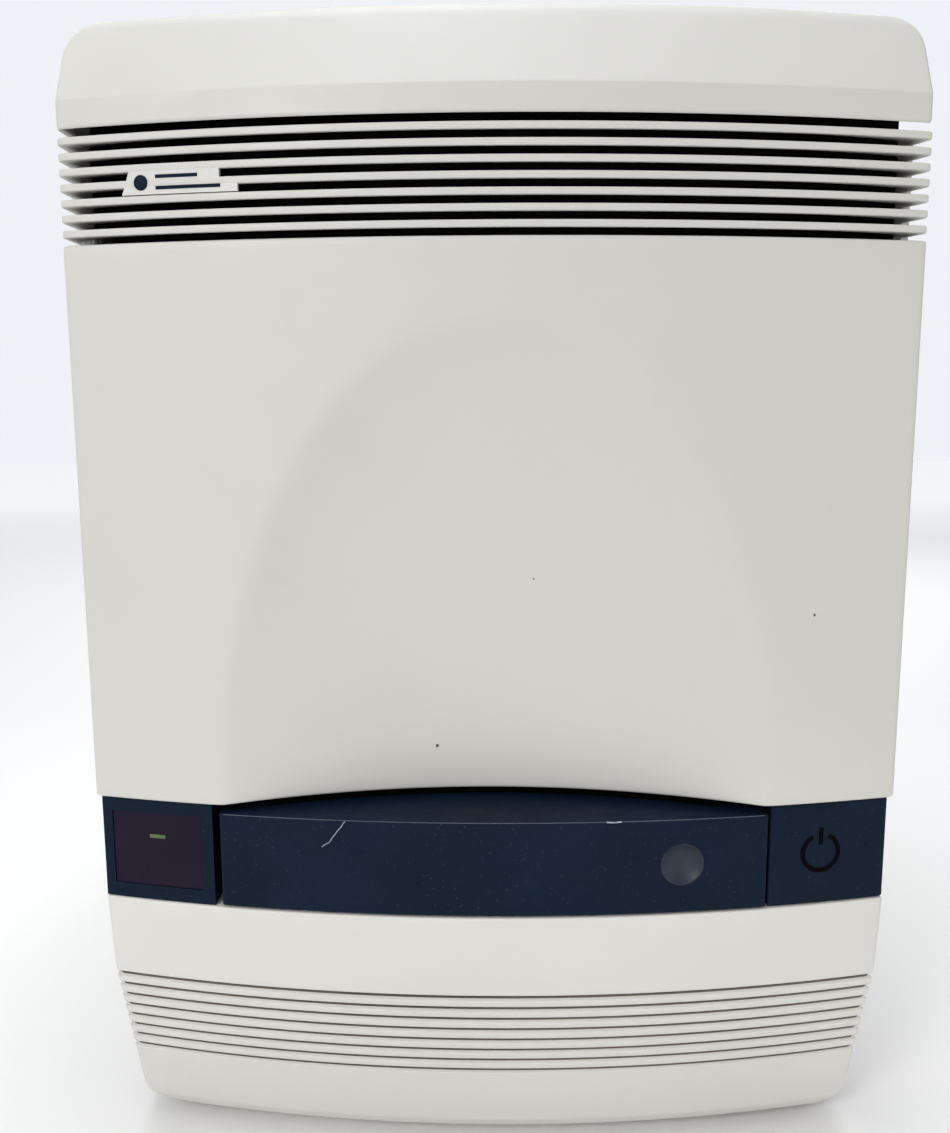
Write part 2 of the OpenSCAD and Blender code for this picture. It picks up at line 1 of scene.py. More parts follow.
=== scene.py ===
"""Looks for the benchtop thermal cycler: fine covers, procedural materials, light and camera."""
import bpy
import bmesh
import json
import math
from mathutils import Matrix, Vector


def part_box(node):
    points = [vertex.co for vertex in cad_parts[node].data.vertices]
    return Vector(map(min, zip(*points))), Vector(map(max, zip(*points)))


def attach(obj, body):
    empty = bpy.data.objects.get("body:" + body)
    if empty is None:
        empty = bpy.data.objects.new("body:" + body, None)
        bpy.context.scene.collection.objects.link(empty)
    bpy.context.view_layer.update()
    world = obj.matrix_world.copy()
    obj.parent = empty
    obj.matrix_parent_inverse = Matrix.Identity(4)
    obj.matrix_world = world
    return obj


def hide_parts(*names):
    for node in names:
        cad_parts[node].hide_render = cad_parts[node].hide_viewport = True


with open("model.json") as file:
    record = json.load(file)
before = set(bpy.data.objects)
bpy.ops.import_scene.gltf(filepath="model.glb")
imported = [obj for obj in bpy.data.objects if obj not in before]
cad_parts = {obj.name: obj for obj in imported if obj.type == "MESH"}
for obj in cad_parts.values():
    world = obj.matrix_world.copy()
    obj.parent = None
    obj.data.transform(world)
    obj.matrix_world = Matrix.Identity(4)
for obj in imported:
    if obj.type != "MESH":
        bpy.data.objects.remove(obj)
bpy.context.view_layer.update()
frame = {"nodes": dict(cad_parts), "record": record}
MM = 0.001

# ---- driving sizes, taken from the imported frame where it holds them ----
door_lo, door_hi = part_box("access_door")
hood_lo, hood_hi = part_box("hood")
bezel_lo, bezel_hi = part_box("lower_bezel")
drawer_lo, drawer_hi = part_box("drawer_front")
button_lo, button_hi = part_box("power_button")
grille_lo, grille_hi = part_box("front_grille")
badge_lo, badge_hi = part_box("badge_plate")
HALF_W = door_hi.x
FRONT_Y = door_lo.y
BOW = 20 * MM  # how far the middle of the front stands out past its sides
ARC_R = (HALF_W ** 2 + BOW ** 2) / (2 * BOW)
ARC_Y = FRONT_Y + ARC_R
WALL = 3 * MM
BAND_INSET = 3 * MM  # the dark band, behind the bowed front
DRAWER_INSET = BAND_INSET - 1 * MM
BAND_TOP = door_lo.z - 0.6 * MM

# the door's scooped arch, and the strip of painted shade behind its foot
SCOOP_DEPTH = 31 * MM
SCOOP_HALF_W = 113 * MM
SCOOP_H = 198 * MM
FOOT_SHADE_HALF_W = 96 * MM

# the drawer's press point: centre x and z, radius of its ball, depth
DIMPLE = (78.7 * MM, 150.4 * MM, 12.8 * MM, 4.3 * MM)
# the power symbol: centre x and z, outer radius, stroke
SYMBOL = (138.7 * MM, 151.7 * MM, 8.9 * MM, 2 * MM)

# the lower bezel: its knee, its two slopes and its grooves
KNEE_Z = 90.7 * MM
KNEE_INSET = 6.8 * MM
STEEP = math.tan(math.radians(7.2))
RAKE = math.tan(math.radians(20.3))
GROOVES = 8
GROOVE_PITCH = 6.41 * MM
GROOVE_H = 3.08 * MM
GROOVE_DEPTH = 2.9 * MM

# the hood's brow, the grille's fins and the ribs behind them
BROW_Z = 456.5 * MM
BROW_RAKE = 17 * MM / (hood_hi.z - BROW_Z)
FINS = 7
FIN_PITCH = 5.82 * MM
FIN_H = 2.77 * MM
FIN_LIP = 1.6 * MM
FIN_WRAP = 9 * MM
FIN_FLARE_X = 115 * MM
RIB_XS = (-121, -66, 0, 66, 121)
RIB_HALF_W = 1.0

# wear, in mm: a scratch and a nick (x, z) on the drawer, and flecks (x, z, radius) on the door
SCRATCH = ((-71.1, 158.3), (-69.5, 159.5), (-67.8, 160.4), (-66.6, 162.4), (-65.4, 163.9),
           (-64.4, 165.4), (-62.7, 167.3), (-61.8, 169), (-60.9, 169.8))
NICK = ((46.7, 170.1), (49, 169.9), (52.8, 170.1))
FLECKS = ((-24, 194, 0.75), (130, 255, 0.6), (17, 268, 0.4))

# filters: wheel, body, centre (mm), ring radius (mm), axis, angle of the first one, glass
FILTER_WHEELS = (
    ("excitation", "exc_wheel", (35, -119, 330), 35, "Y", math.pi, "blue_filter"),
    ("emission", "em_wheel", (0, -26, 386), 34, "Z", -math.pi / 2, "amber_filter"))
FILTERS = 5
FILTER_R = 11.9 * MM
FILTER_HALF_T = 1.5 * MM

# frame parts with a look other than their slot's, and the width of softened edges in mm
# The grille's baffle is coloured deep black: painted shade in the slots between the fins.
LOOK_OF = {"grille_baffle": "black_ink_and_shade"}
EDGE = 0.25
EDGE_OF = {"side_panel_left": 0.8, "side_panel_right": 0.8, "rear_panel": 0.6, "feet": 1.0,
           "control_surround": 0.5, "plate_nest": 0.4, "mains_inlet": 0.4}

# the camera: place, yaw, downward pitch and roll in degrees, and focal length in mm
CAMERA_AT = Vector((-1.0, -626.1, 337.9)) * MM
YAW, PITCH, ROLL = -0.846, 8.66, -0.2045
LENS = 32.9


def bow_y(x, inset=0.0):
    """Where the bowed front is at x, set in by inset."""
    return ARC_Y - math.sqrt((ARC_R - inset) ** 2 - x * x)


# ---- camera, floor and light ----
def make_camera():
    """The view from the front, close and a little above, looking down."""
    cam = bpy.data.cameras.new("front_view")
    cam.sensor_width = 36
    cam.lens = LENS
    cam.clip_start = 0.01
    obj = bpy.data.objects.new("front_view", cam)
    bpy.context.collection.objects.link(obj)
    yaw, pitch, roll = (math.radians(angle) for angle in (YAW, PITCH, ROLL))
    ahead = Vector((math.sin(yaw) * math.cos(pitch), math.cos(yaw) * math.cos(pitch), -math.sin(pitch)))
    level = Vector((math.cos(yaw), -math.sin(yaw), 0))
    up = level.cross(ahead)
    right = math.cos(roll) * level + math.sin(roll) * up
    top = -math.sin(roll) * level + math.cos(roll) * up
    turn = Matrix((right, top, -ahead)).transposed()
    obj.matrix_world = Matrix.Translation(CAMERA_AT) @ turn.to_4x4()
    bpy.context.scene.camera = obj


def aim(name, light, at, target):
    """Stands a light at a place in metres and points it at a target."""
    obj = bpy.data.objects.new(name, light)
    bpy.context.collection.objects.link(obj)
    obj.location = at
    obj.rotation_euler = (Vector(target) - Vector(at)).to_track_quat("-Z", "Y").to_euler()


def area_light(name, at, target, size, watts, colour=(1, 1, 1)):
    """A soft box."""
    light = bpy.data.lights.new(name, "AREA")
    light.shape = "RECTANGLE"
    light.size, light.size_y = size
    light.energy = watts
    light.color = colour
    aim(name, light, at, target)


def low_light():
    """A wide soft beam on the lowest third of the front, as a pale bench top throws it."""
    light = bpy.data.lights.new("low", "SPOT")
    light.energy = 20
    light.color = (1.0, 0.99, 0.975)
    light.shadow_soft_size = 0.3
    light.spot_size = math.radians(26)
    light.spot_blend = 1.0
    aim("low", light, (0, -1.3, 0.2), (0, -0.2, 0))


def fade_along_y(tree, space, start, end, low, high):
    """A value that goes from low to high as Y goes from start to end."""
    place = tree.nodes.new("ShaderNodeTexCoord")
    split = tree.nodes.new("ShaderNodeSeparateXYZ")
    fade = tree.nodes.new("ShaderNodeMapRange")
    for socket, value in (("From Min", start), ("From Max", end), ("To Min", low), ("To Max", high)):
        fade.inputs[socket].default_value = value
    tree.links.new(place.outputs[space], split.inputs["Vector"])
    tree.links.new(split.outputs["Y"], fade.inputs["Value"])
    return fade.outputs["Result"]


def make_sky():
    """A pale room: bright wall behind the object and overhead, dimmer where the camera stands."""
    world = bpy.data.worlds.new("studio")
    bpy.context.scene.world = world
    world.use_nodes = True
    tree = world.node_tree
    sky = tree.nodes["Background"]
    sky.inputs["Color"].default_value = (0.94, 0.965, 1.0, 1)
    tree.links.new(fade_along_y(tree, "Generated", -0.3, 0.6, 0.42, 0.92), sky.inputs["Strength"])


def make_floor():
    """A white floor that glows more toward its far end, to fade into the wall."""
    bpy.ops.mesh.primitive_plane_add(size=12, location=(0, 0, 0))
    floor = bpy.context.object
    floor.name = "floor"
    material = bpy.data.materials.new("floor_white")
    material.use_nodes = True
    tree = material.node_tree
    shader = tree.nodes["Principled BSDF"]
    shader.inputs["Base Color"].default_value = (0.83, 0.825, 0.815, 1)
    shader.inputs["Roughness"].default_value = 0.6
    shader.inputs["Emission Color"].default_value = (0.96, 0.98, 1.0, 1)
    tree.links.new(fade_along_y(tree, "Object", 0.5, 3.2, 0.0, 0.37), shader.inputs["Emission Strength"])
    floor.data.materials.append(material)


def make_studio():
    """The pale room, five lights and the floor."""
    make_sky()
    area_light("key", at=(-0.75, -1.35, 1.0), target=(0, 0, 0.26), size=(0.5, 0.5),
               watts=11, colour=(1.0, 0.995, 0.985))
    area_light("fill", at=(1.5, -1.0, 0.5), target=(0, 0, 0.25), size=(0.9, 0.9),
               watts=4, colour=(1.0, 0.965, 0.915))
    area_light("top", at=(-0.1, -0.15, 1.8), target=(0, -0.1, 0.4), size=(0.9, 0.9),
               watts=12.5, colour=(0.94, 0.975, 1.0))
    low_light()
    area_light("back", at=(0.3, 1.6, 1.2), target=(0, 0, 0.3), size=(1.2, 0.9), watts=10)
    make_floor()
    bpy.context.scene.view_settings.view_transform = "Standard"


# ---- materials ----
def new_material(name, rough, metallic=0.0):
    """A plain material, its node tree and its shader."""
    material = bpy.data.materials.new(name)
    material.use_nodes = True
    shader = material.node_tree.nodes["Principled BSDF"]
    shader.inputs["Roughness"].default_value = rough
    shader.inputs["Metallic"].default_value = metallic
    return material, material.node_tree, shader


def add_noise(tree, scale, detail, stretch=(1, 1, 1)):
    """Noise in the object's own space, in cells per metre, finer along a stretched axis."""
    place = tree.nodes.new("ShaderNodeTexCoord")
    mapping = tree.nodes.new("ShaderNodeMapping")
    mapping.inputs["Scale"].default_value = stretch
    noise = tree.nodes.new("ShaderNodeTexNoise")
    noise.inputs["Scale"].default_value = scale
    noise.inputs["Detail"].default_value = detail
    tree.links.new(place.outputs["Object"], mapping.inputs["Vector"])
    tree.links.new(mapping.outputs["Vector"], noise.inputs["Vector"])
    return noise.outputs["Fac"]


def ramp(tree, source, low, high, at=(0.35, 0.65)):
    """A blend from one colour to another where source lies between the two stops."""
    node = tree.nodes.new("ShaderNodeValToRGB")
    for stop, place, value in zip(node.color_ramp.elements, at, (low, high)):
        stop.position = place
        stop.color = (*value, 1)
    tree.links.new(source, node.inputs["Fac"])
    return node.outputs["Color"]


def grey(value):
    return (value, value, value)


def tint(colour, factor):
    return tuple(min(1.0, c * factor) for c in colour)


def bump(tree, shader, layers):
    """Lays bump layers, each (height source, strength, depth in metres), on each other."""
    last = None
    for source, strength, depth in layers:
        node = tree.nodes.new("ShaderNodeBump")
        node.inputs["Strength"].default_value = strength
        node.inputs["Distance"].default_value = depth
        tree.links.new(source, node.inputs["Height"])
        if last:
            tree.links.new(last, node.inputs["Normal"])
        last = node.outputs["Normal"]
    tree.links.new(last, shader.inputs["Normal"])


def moulded(name, colour, rough, grain=1600, vary=0.05):
    """Moulded plastic: fine spark-eroded grain, slow colour drift and uneven gloss."""
    material, tree, shader = new_material(name, rough)
    drift = add_noise(tree, 7, 2)
    tree.links.new(ramp(tree, drift, tint(colour, 1 - vary), tint(colour, 1 + vary)),
                   shader.inputs["Base Color"])
    tree.links.new(ramp(tree, add_noise(tree, 40, 4), grey(rough - 0.05), grey(rough + 0.07)),
                   shader.inputs["Roughness"])
    bump(tree, shader, [(add_noise(tree, grain, 2), 0.35, 0.00006),
                        (add_noise(tree, 6, 1), 0.25, 0.0006)])
    return material


def metal(name, colour, rough, stretch=(1, 60, 1), scale=120):
    """Rolled or machined metal with fine lines along one way."""
    material, tree, shader = new_material(name, rough, metallic=1.0)
    lines = add_noise(tree, scale, 4, stretch)
    tree.links.new(ramp(tree, lines, tint(colour, 0.86), tint(colour, 1.05)), shader.inputs["Base Color"])
    tree.links.new(ramp(tree, lines, grey(rough - 0.03), grey(rough + 0.04)), shader.inputs["Roughness"])
    bump(tree, shader, [(lines, 0.25, 0.00003)])
    return material


def dusty_navy():
    """The dark band: satin plastic with pale dust in its grain."""
    colour = (0.0036, 0.0098, 0.0232)
    material, tree, shader = new_material("navy_band", 0.55)
    shader.inputs["Specular IOR Level"].default_value = 0.08
    cloud = ramp(tree, add_noise(tree, 22, 5), tint(colour, 0.88), tint(colour, 1.16))
    speck = ramp(tree, add_noise(tree, 900, 2), grey(0.0), grey(0.55), (0.66, 0.74))
    dust = tree.nodes.new("ShaderNodeMix")
    dust.data_type = "RGBA"
    factor, ground, over, mixed = dust.inputs[0], dust.inputs[6], dust.inputs[7], dust.outputs[2]
    over.default_value = (0.03, 0.045, 0.065, 1)
    tree.links.new(speck, factor)
    tree.links.new(cloud, ground)
    tree.links.new(mixed, shader.inputs["Base Color"])
    tree.links.new(ramp(tree, add_noise(tree, 60, 4), grey(0.48), grey(0.62)), shader.inputs["Roughness"])
    bump(tree, shader, [(add_noise(tree, 1700, 2), 0.4, 0.00006)])
    return material


def matte_ink_and_shade():
    """Deep black: the colour of printed marks, and painted shade on the baffle and ribs behind the fins and
    on the strip behind the door's foot.
    """
    material, tree, shader = new_material("matte_ink_and_shade", 0.85)
    shader.inputs["Specular IOR Level"].default_value = 0.04
    tree.links.new(ramp(tree, add_noise(tree, 400, 2), grey(0.0012), grey(0.003)),
                   shader.inputs["Base Color"])
    return material


def smoked():
    """A dark pane with a violet cast."""
    material, tree, shader = new_material("smoked_pane", 0.2)
    shader.inputs["Specular IOR Level"].default_value = 0.08
    tree.links.new(ramp(tree, add_noise(tree, 18, 3), (0.0075, 0.005, 0.013), (0.014, 0.008, 0.022)),
                   shader.inputs["Base Color"])
    tree.links.new(ramp(tree, add_noise(tree, 70, 4), grey(0.16), grey(0.28)), shader.inputs["Roughness"])
    return material


def glowing(name, colour, power):
    """A lamp's face, with a faint glow."""
    material, tree, shader = new_material(name, 0.3)
    tree.links.new(ramp(tree, add_noise(tree, 300, 2), tint(colour, 0.7), colour),
                   shader.inputs["Base Color"])
    shader.inputs["Emission Color"].default_value = (*colour, 1)
    shader.inputs["Emission Strength"].default_value = power
    return material


def coated_glass(name, colour):
    """Clear glass with a thin coloured coating."""
    material, tree, shader = new_material(name, 0.05)
    shader.inputs["Transmission Weight"].default_value = 0.85
    tree.links.new(ramp(tree, add_noise(tree, 12, 2), tint(colour, 0.92), colour),
                   shader.inputs["Base Color"])
    tree.links.new(ramp(tree, add_noise(tree, 90, 3), grey(0.03), grey(0.09)), shader.inputs["Roughness"])
    return material


def board_green():
    """Solder mask with paler tracks along one way."""
    material, tree, shader = new_material("board_green", 0.35)
    tracks = add_noise(tree, 260, 1, (1, 6, 1))
    tree.links.new(ramp(tree, tracks, (0.01, 0.09, 0.03), (0.02, 0.16, 0.06), (0.48, 0.52)),
                   shader.inputs["Base Color"])
    bump(tree, shader, [(add_noise(tree, 500, 2), 0.3, 0.00005)])
    return material


BEIGE = (0.575, 0.562, 0.528)
MATERIALS = {
    "beige_plastic": moulded("beige_shell", BEIGE, 0.5, vary=0.02),
    "navy_plastic": dusty_navy(),
    "smoked_window": smoked(),
    "green_lamp": glowing("lamp_green", (0.07, 0.12, 0.025), 0.2),
    "badge_metal": moulded("badge_paint", (0.6, 0.59, 0.56), 0.42, grain=900, vary=0.03),
    "rubber_feet": moulded("foot_rubber", (0.025, 0.025, 0.026), 0.75, grain=700, vary=0.2),
    "black_plastic": moulded("black_moulding", (0.022, 0.022, 0.025), 0.48, vary=0.15),
    "zinc_steel": metal("zinc_plate", (0.58, 0.59, 0.6), 0.34),
    "machined_aluminium": metal("machined_aluminium", (0.76, 0.77, 0.79), 0.3, (50, 1, 1), 90),
    "white_ceramic": moulded("white_ceramic", (0.8, 0.79, 0.76), 0.3, grain=500),
    "brass": metal("turned_brass", (0.68, 0.5, 0.2), 0.25, (1, 1, 90), 60),
    "belt_rubber": moulded("belt_rubber", (0.02, 0.02, 0.02), 0.7, grain=900, vary=0.2),
    "optical_glass": coated_glass("optical_glass", (0.8, 0.9, 0.95)),
    "green_board": board_green(),
    "black_ink_and_shade": matte_ink_and_shade(),
    # A lighter copy of the shell's beige for the lower bezel: painted light from the pale bench below.
    "beige_bench_lit": moulded("beige_bench_lit", tint(BEIGE, 1.1), 0.5, vary=0.02),
    "navy_polished": moulded("navy_polished", (0.006, 0.012, 0.024), 0.46, grain=1500, vary=0.15),
    # A brownish dark colour for strips in the bezel's grooves: painted shade, tinted as grime.
    "groove_shade_and_dirt": moulded("groove_shade_and_dirt", (0.12, 0.1, 0.078), 0.85, grain=900, vary=0.3),
    # A pale blue-grey for a thin line along the drawer's top edge: a painted highlight.
    "edge_highlight": moulded("edge_highlight", (0.05, 0.07, 0.09), 0.5, grain=900, vary=0.3),
    "dark_fleck": moulded("dark_fleck", (0.03, 0.028, 0.025), 0.6, vary=0.1),
    "pale_scratch": moulded("pale_scratch", (0.30, 0.34, 0.38), 0.6, vary=0.1),
    "blue_filter": coated_glass("blue_filter", (0.2, 0.45, 0.95)),
    "amber_filter": coated_glass("amber_filter", (0.95, 0.55, 0.15)),
}


# ---- mesh helpers ----
def finish_piece(obj, material, body, replaced=(), smooth=True):
    """Gives a piece its material and body, and hides the frame parts that it replaces."""
    obj.data.materials.clear()
    obj.data.materials.append(MATERIALS[material])
    if smooth:
        obj.data.shade_smooth()
    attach(obj, body)
    if replaced:
        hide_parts(*replaced)


def mesh_object(name, points, faces):
    """An object of joined faces which all look outward."""
    mesh = bpy.data.meshes.new(name)
    mesh.from_pydata(points, [], faces)
    mesh.update()
    work = bmesh.new()
    work.from_mesh(mesh)
    bmesh.ops.remove_doubles(work, verts=work.verts, dist=1e-7)
    bmesh.ops.recalc_face_normals(work, faces=work.faces)
    work.to_mesh(mesh)
    work.free()
    obj = bpy.data.objects.new(name, mesh)
    bpy.context.collection.objects.link(obj)
    return obj


def spread(lo, hi, count):
    """count + 1 even steps from lo to hi."""
    return [lo + (hi - lo) * i / count for i in range(count + 1)]


def column_xs(x0, x1, step):
    return spread(x0, x1, max(2, round((x1 - x0) / step)))


def plan_path(x0, x1, back, front, xs, fillet):
    """Plan view: back of the left side, round its corner, across the front, back along the right."""
    def corner(x, way):
        inner = x + way * fillet
        a, b, c = (x, front(x) + fillet), (x, front(x)), (inner, front(inner))
        return [tuple((1 - t) ** 2 * a[i] + 2 * t * (1 - t) * b[i] + t * t * c[i] for i in (0, 1))
                for t in spread(0, 1, 6)]
    left = corner(x0, 1)
    right = corner(x1, -1)[::-1]
    middle = [(x, front(x)) for x in xs if x0 + fillet * 1.05 < x < x1 - fillet * 1.05]
    sides = spread(0, 1, 4)[:-1]
    left_run = [(x0, back + (left[0][1] - back) * t) for t in sides]
    right_run = [(x1, back + (right[-1][1] - back) * t) for t in sides][::-1]
    return left_run + left + middle + right + right_run


def setback_path(half, back, setback, xs, fillet=3 * MM):
    """The plan of a bowed cover that stands back from the front by setback."""
    return plan_path(-half, half, back, lambda x: bow_y(x) + setback, xs, fillet)


def fillet_inset(radius, below_edge):
    """How far a rounded edge has come in, at a height below_edge short of its end."""
    near = max(0.0, radius - below_edge)
    return radius - math.sqrt(max(0.0, radius ** 2 - near ** 2))


def loft(name, rows, closed=False, cap_low=True, cap_high=True):
    """Joins rows of points, each (list of (x, y), z), into a skin.

    A closed one joins its last row to its first and has both ends capped, as a bar has.
    An open one can be capped at its first and its last row.
    Known fault: rows are cut to the length of the shortest, so a cover whose rows differ in
    width loses the end of its path, and its right side stays open.
    """
    count = min(len(path) for path, z in rows)
    points = [(x, y, z) for path, z in rows for x, y in path[:count]]
    faces = []
    last = len(rows) if closed else len(rows) - 1
    for r in range(last):
        low, high = r * count, (r + 1) % len(rows) * count
        faces += [(low + i, low + i + 1, high + i + 1, high + i) for i in range(count - 1)]
    if closed:
        faces += [tuple(r * count for r in range(len(rows))),
                  tuple(r * count + count - 1 for r in range(len(rows)))]
    else:
        top = (len(rows) - 1) * count
        if cap_low:
            faces.append(tuple(range(count)))
        if cap_high:
            faces.append(tuple(range(top, top + count)))
    return mesh_object(name, points, faces)


def add_shell(obj, thickness):
    """Gives a skin a wall behind it."""
    solid = obj.modifiers.new("wall", "SOLIDIFY")
    solid.thickness = thickness
    solid.offset = -1
    return obj


def soften(obj, width):
    """Rounds the edges that turn by 40 degrees or more."""
    edge = obj.modifiers.new("edges", "BEVEL")
    edge.width = width
    edge.segments = 2
    edge.limit_method = "ANGLE"
    edge.angle_limit = math.radians(40)
    edge.harden_normals = True


def rounded_rows(z0, z1, radius, steps):
    """(height, inset) pairs of the rounded bottom edge of a face, and of its top edge."""
    low = [(z0 + radius * (1 - math.sin(a)), radius * (1 - math.cos(a)))
           for a in spread(math.pi / 2, 0, steps)]
    high = [(z1 - radius * (1 - math.sin(a)), radius * (1 - math.cos(a)))
            for a in spread(0, math.pi / 2, steps)]
    return low, high


# ---- outer covers ----
def arch(x, z):
    """Depth of the scooped arch, with a soft rim."""
    rise = 1 - (x / SCOOP_HALF_W) ** 2 - ((z - BAND_TOP) / SCOOP_H) ** 2
    soft = 0.02
    return SCOOP_DEPTH * (rise + math.sqrt(rise * rise + soft * soft)) / 2


def make_door():
    """The scooped access door, a thin shell with rounded edges."""
    radius, levels = 1.2 * MM, 96
    low, high = rounded_rows(door_lo.z, door_hi.z, radius, 3)
    middle = [(z, 0) for z in spread(door_lo.z + radius, door_hi.z - radius, levels)][1:-1]
    xs = column_xs(-HALF_W, HALF_W, 3 * MM)
    rows = []
    for z, inset in low + middle + high:
        path = plan_path(-HALF_W + inset, HALF_W - inset, door_hi.y,
                         lambda x, i=inset, h=z: bow_y(x) + i + arch(x, h), xs, 2.2 * MM)
        rows.append((path, z))
    door = loft("door_skin", rows, cap_low=False, cap_high=False)
    finish_piece(add_shell(door, WALL), "beige_plastic", "door", ["access_door"])


def make_door_foot_shade():
    """A black strip behind the foot of the scoop, which hides the inside: painted shade in the gap above
    the drawer.
    """
    rows = []
    xs = column_xs(-FOOT_SHADE_HALF_W, FOOT_SHADE_HALF_W, 3 * MM)
    for z in (drawer_hi.z + 0.5 * MM, door_lo.z + 3 * MM):
        rows.append(([(x, bow_y(x) + arch(x, door_lo.z) + WALL + 0.6 * MM) for x in xs], z))
    foot_shade_strip = loft("door_foot_shade", rows, cap_low=False, cap_high=False)
    # Coloured deep black: painted shade under the door's foot.
    finish_piece(add_shell(foot_shade_strip, 1.2 * MM), "black_ink_and_shade", "door")


def make_hood():
    """The hood: an upright foot, a brow where it starts to lean back, and rounded shoulders."""
    z0, z1 = hood_lo.z, hood_hi.z
    shoulder_r, nose_r, crease, foot_h = 14.5 * MM, 5 * MM, 0.25 * MM, 0.9 * MM
    heights = [z0, z0 + 0.4 * MM, z0 + foot_h] + spread(z0 + 1.4 * MM, z1 - shoulder_r, 26)
    heights += [z1 - shoulder_r * (1 - math.sin(a)) for a in spread(0, math.pi / 2, 16)][1:]
    heights += [BROW_Z + step * MM for step in (-0.6, -0.3, -0.1, 0.1, 0.3, 0.6)]
    xs = column_xs(-HALF_W, HALF_W, 4 * MM)
    rows = []
    for z in sorted(heights):
        over = z - BROW_Z
        lean = BROW_RAKE * (over + math.hypot(over, crease)) / 2
        foot = max(0.0, foot_h - (z - z0)) * 0.6
        setback = lean + fillet_inset(nose_r, z1 - z) * 0.6 + foot
        half = HALF_W - fillet_inset(shoulder_r, z1 - z) - foot
        rows.append((setback_path(half, hood_hi.y, setback, xs), z))
    hood = loft("hood_cover", rows, cap_low=False)
    finish_piece(add_shell(hood, WALL), "beige_plastic", "chassis", ["hood"])


def bezel_setback(z):
    """The lower bezel's face: steep above the knee, raked below it, with a soft knee."""
    below = KNEE_Z - z
    upper = KNEE_INSET + STEEP * below
    lower = KNEE_INSET + RAKE * below
    soft = 0.8 * MM
    return (upper + lower + math.sqrt((upper - lower) ** 2 + soft ** 2)) / 2


def groove_levels(top):
    """(height, depth) pairs of one groove: its floor slopes in, and its roof is a sharp overhang."""
    low = top - GROOVE_H
    return [(low - 0.25 * MM, 0), (low, 0.12 * MM), (low + 0.2 * MM, 0.4 * MM),
            (low + 0.9 * MM, GROOVE_DEPTH * 0.75), (low + 1.3 * MM, GROOVE_DEPTH),
            (top - 0.3 * MM, GROOVE_DEPTH), (top - 0.12 * MM, 0.4 * MM),
            (top, 0.12 * MM), (top + 0.2 * MM, 0)]


def make_bezel():
    """The lower bezel: a raked shell with rounded lower corners and eight grooves."""
    z0, z1 = bezel_lo.z, bezel_hi.z
    corner, edge = 12 * MM, 1.0 * MM
    grooves_foot = KNEE_Z - GROOVE_H - (GROOVES - 1) * GROOVE_PITCH
    levels = [(z0 + corner * (1 - math.cos(a)), 0) for a in spread(0, math.pi / 2, 14)]
    levels += [(z, 0) for z in spread(z0 + corner, grooves_foot - 0.6 * MM, 8)]
    for k in range(GROOVES):
        levels += groove_levels(KNEE_Z - k * GROOVE_PITCH)
    levels += [(z, 0) for z in spread(KNEE_Z + 0.8 * MM, z1 - edge, 8)]
    levels += rounded_rows(z0, z1, edge, 4)[1][1:]
    xs = column_xs(-bezel_hi.x, bezel_hi.x, 4 * MM)
    rows = []
    for z, groove in sorted(levels):
        low_edge = max(0.0, 5 * MM - (z - z0)) * 0.35
        half = bezel_hi.x - fillet_inset(corner, z - z0) - groove
        rows.append((setback_path(half, bezel_hi.y, bezel_setback(z) + groove + low_edge, xs), z))
    bezel = loft("bezel_cover", rows)
    # The bezel takes the lighter beige: painted light from the bench below.
    finish_piece(add_shell(bezel, WALL), "beige_bench_lit", "chassis", ["lower_bezel"])
    # Dark strips in the grooves: painted shade, tinted brown as grime.
    for k in range(GROOVES):
        make_groove_shade_and_dirt(k, xs)


def make_groove_shade_and_dirt(k, xs):
    """Painted shade at the back of one groove, tinted brown as grime: a thin dark strip just in front of
    its floor.
    """
    low = KNEE_Z - k * GROOVE_PITCH - GROOVE_H
    rows = []
    for z, reach in ((low + 0.68 * MM, 1.5 * MM), (low + 0.9 * MM, GROOVE_DEPTH * 0.75 - 0.1 * MM),
                     (low + 1.3 * MM, GROOVE_DEPTH - 0.1 * MM), (low + 1.6 * MM, GROOVE_DEPTH - 0.06 * MM)):
        rows.append((setback_path(bezel_hi.x - reach, bezel_hi.y, bezel_setback(z) + reach, xs), z))
    groove_strip = loft("groove_grime_%d" % (k + 1), rows, cap_low=False, cap_high=False)
    finish_piece(add_shell(groove_strip, 0.1 * MM), "groove_shade_and_dirt", "chassis")


def fin_back(x):
    """The back of a fin: a thin lip along the front that deepens toward the corners."""
    t = min(1.0, max(0.0, (abs(x) - FIN_FLARE_X) / (HALF_W - FIN_FLARE_X)))
    return bow_y(x, FIN_LIP + (FIN_WRAP - FIN_LIP) * t * t)


def make_fins():
    """The grille's fins, thin lips that follow the bow, from the top one down."""
    top = hood_lo.z - (FIN_PITCH - FIN_H)
    xs = column_xs(-HALF_W, HALF_W, 5 * MM)
    for k in range(FINS):
        z1 = top - k * FIN_PITCH
        z0 = z1 - FIN_H
        low, high = rounded_rows(z0, z1, 0.5 * MM, 4)
        back = plan_path(-HALF_W + FIN_WRAP, HALF_W - FIN_WRAP, grille_hi.y, fin_back, xs, 2.5 * MM)
        rows = [(back, z0)]
        for z, inset in low + high:
            rows.append((plan_path(-HALF_W + inset, HALF_W - inset, grille_hi.y,
                                   lambda x, i=inset: bow_y(x, i), xs, 2.5 * MM), z))
        rows.append((back, z1))
        fin = loft("grille_fin_%d" % (k + 1), rows, closed=True)
        replaced = ["front_grille"] if k == 0 else []
        finish_piece(fin, "beige_plastic", "chassis", replaced)


